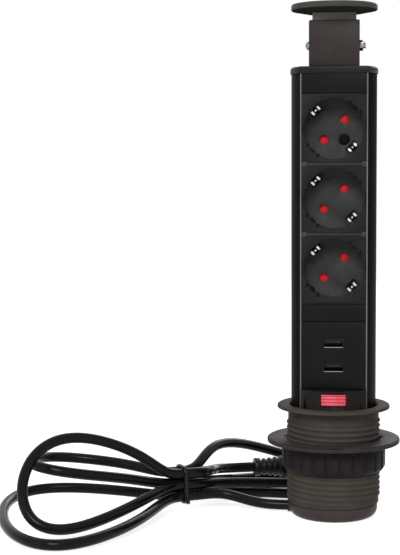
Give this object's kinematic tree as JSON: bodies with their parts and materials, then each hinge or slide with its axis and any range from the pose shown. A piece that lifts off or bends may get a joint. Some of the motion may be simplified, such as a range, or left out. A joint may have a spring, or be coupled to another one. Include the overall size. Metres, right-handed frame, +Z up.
{
  "type": "pop up desk socket",
  "caption": "Pop-up desk tower with earthed sockets and a USB charger, sliding in a threaded clamp collar, its mains lead tied in a hank.",
  "frame": {"origin": "on the tower's axis at the foot of the end cap, where the unit stands on the floor", "axes": "+Z up along the tower, the sockets face -Y, +X to the right seen from the front"},
  "size_m": [0.2631, 0.2177, 0.338],
  "materials": {
    "rail_paint": "satin black anodised profile",
    "lid_paint": "satin",
    "panel_plastic": "fine matt",
    "socket_plastic": "fine matt",
    "trim_plastic": "satin",
    "collar_plastic": "matt moulded",
    "ring_plastic": "matt moulded",
    "nut_plastic": "matt moulded",
    "cap_plastic": "matt moulded",
    "block_plastic": "satin",
    "shutter_red": "gloss",
    "button_red": "gloss",
    "bracket_paint": "matt",
    "neck_paint": "matt",
    "disc_paint": "satin",
    "bright_steel": "bright",
    "zinc_steel": "zinc plated",
    "spring_metal": "nickel plated",
    "contact_brass": "bare",
    "cream_plastic": "matt",
    "board_green": "glass laminate",
    "tongue_black": "matt",
    "coil_yellow": "tape wound",
    "can_blue": "sleeved can",
    "wire_brown": "soft PVC",
    "wire_blue": "soft PVC",
    "wire_green": "soft PVC",
    "lead_pvc": "soft PVC, satin",
    "plug_pvc": "moulded PVC",
    "pin_nickel": "nickel plated"
  },
  "bodies": {
    "collar": {"collar": "collar_plastic"},
    "ring": {"pressure_ring": "ring_plastic"},
    "nut": {"clamp_nut": "nut_plastic"},
    "tower": {"tower_profile": "rail_paint", "top_plate": "lid_paint", "end_cap": "cap_plastic", "blank_top": "panel_plastic", "blank_mid": "panel_plastic", "divider_bars": "trim_plastic", "live_busbar": "contact_brass", "neutral_busbar": "contact_brass", "earth_busbar": "contact_brass", "usb_plate": "panel_plastic", "usb_shells": "bright_steel", "usb_tongues": "tongue_black", "charger_board": "board_green", "charger_transformer": "coil_yellow", "charger_capacitors": "can_blue", "charger_wires": "wire_brown", "button_block": "block_plastic", "button_spring": "zinc_steel", "terminal_block": "cream_plastic", "wire_live": "wire_brown", "wire_neutral": "wire_blue", "wire_earth": "wire_green", "end_cap_screws": "zinc_steel", "top_plate_screws": "zinc_steel", "cap_bracket": "bracket_paint", "cap_neck": "neck_paint", "cap_disc": "disc_paint", "cross_bolt": "bright_steel", "cross_nut": "bright_steel", "bracket_screws": "zinc_steel", "cord_clamp": "cream_plastic", "cord_grommet": "lead_pvc", "cord_lead": "lead_pvc", "cord_hank": "lead_pvc", "cord_tail": "lead_pvc", "cord_tie": "plug_pvc", "plug_neck": "plug_pvc", "plug_body": "plug_pvc", "plug_pins": "pin_nickel", "plug_earth_contacts": "pin_nickel", "socket_1": "socket_plastic", "contact_carrier_1": "cream_plastic", "earth_clip_1": "spring_metal", "socket_2": "socket_plastic", "contact_carrier_2": "cream_plastic", "earth_clip_2": "spring_metal", "socket_3": "socket_plastic", "contact_carrier_3": "cream_plastic", "earth_clip_3": "spring_metal"},
    "button": {"release_button": "button_red"},
    "shutter_1": {"shutter_1": "shutter_red"},
    "shutter_2": {"shutter_2": "shutter_red"},
    "shutter_3": {"shutter_3": "shutter_red"}
  },
  "joints": [
    {"name": "tower_slide", "type": "slide", "parent": "collar", "child": "tower", "axis": [0, 0, 1], "range_m": [-0.263, 0]},
    {"name": "ring_slide", "type": "slide", "parent": "collar", "child": "ring", "axis": [0, 0, 1], "range_m": [-0.014, 0.017]},
    {"name": "nut_turn", "type": "hinge", "parent": "ring", "child": "nut", "pos_m": [0, 0, 0.0405], "axis": [0, 0, 1], "range_deg": [-1435, 1745]},
    {"name": "button_press", "type": "slide", "parent": "tower", "child": "button", "axis": [0, 1, 0], "range_m": [0, 0.003], "stiffness_N_per_m": 300},
    {"name": "shutter_1_swing", "type": "hinge", "parent": "tower", "child": "shutter_1", "pos_m": [0, 0.0038, 0.25695], "axis": [0, 1, 0], "range_deg": [0, 40], "stiffness_Nm_per_rad": 0.02},
    {"name": "shutter_2_swing", "type": "hinge", "parent": "tower", "child": "shutter_2", "pos_m": [0, 0.0038, 0.21145], "axis": [0, 1, 0], "range_deg": [0, 40], "stiffness_Nm_per_rad": 0.02},
    {"name": "shutter_3_swing", "type": "hinge", "parent": "tower", "child": "shutter_3", "pos_m": [0, 0.0038, 0.16595], "axis": [0, 1, 0], "range_deg": [0, 40], "stiffness_Nm_per_rad": 0.02}
  ],
  "couplings": [
    {"joint": "ring_slide", "follows": "nut_turn", "m_per_rad": 0.00055704}
  ]
}
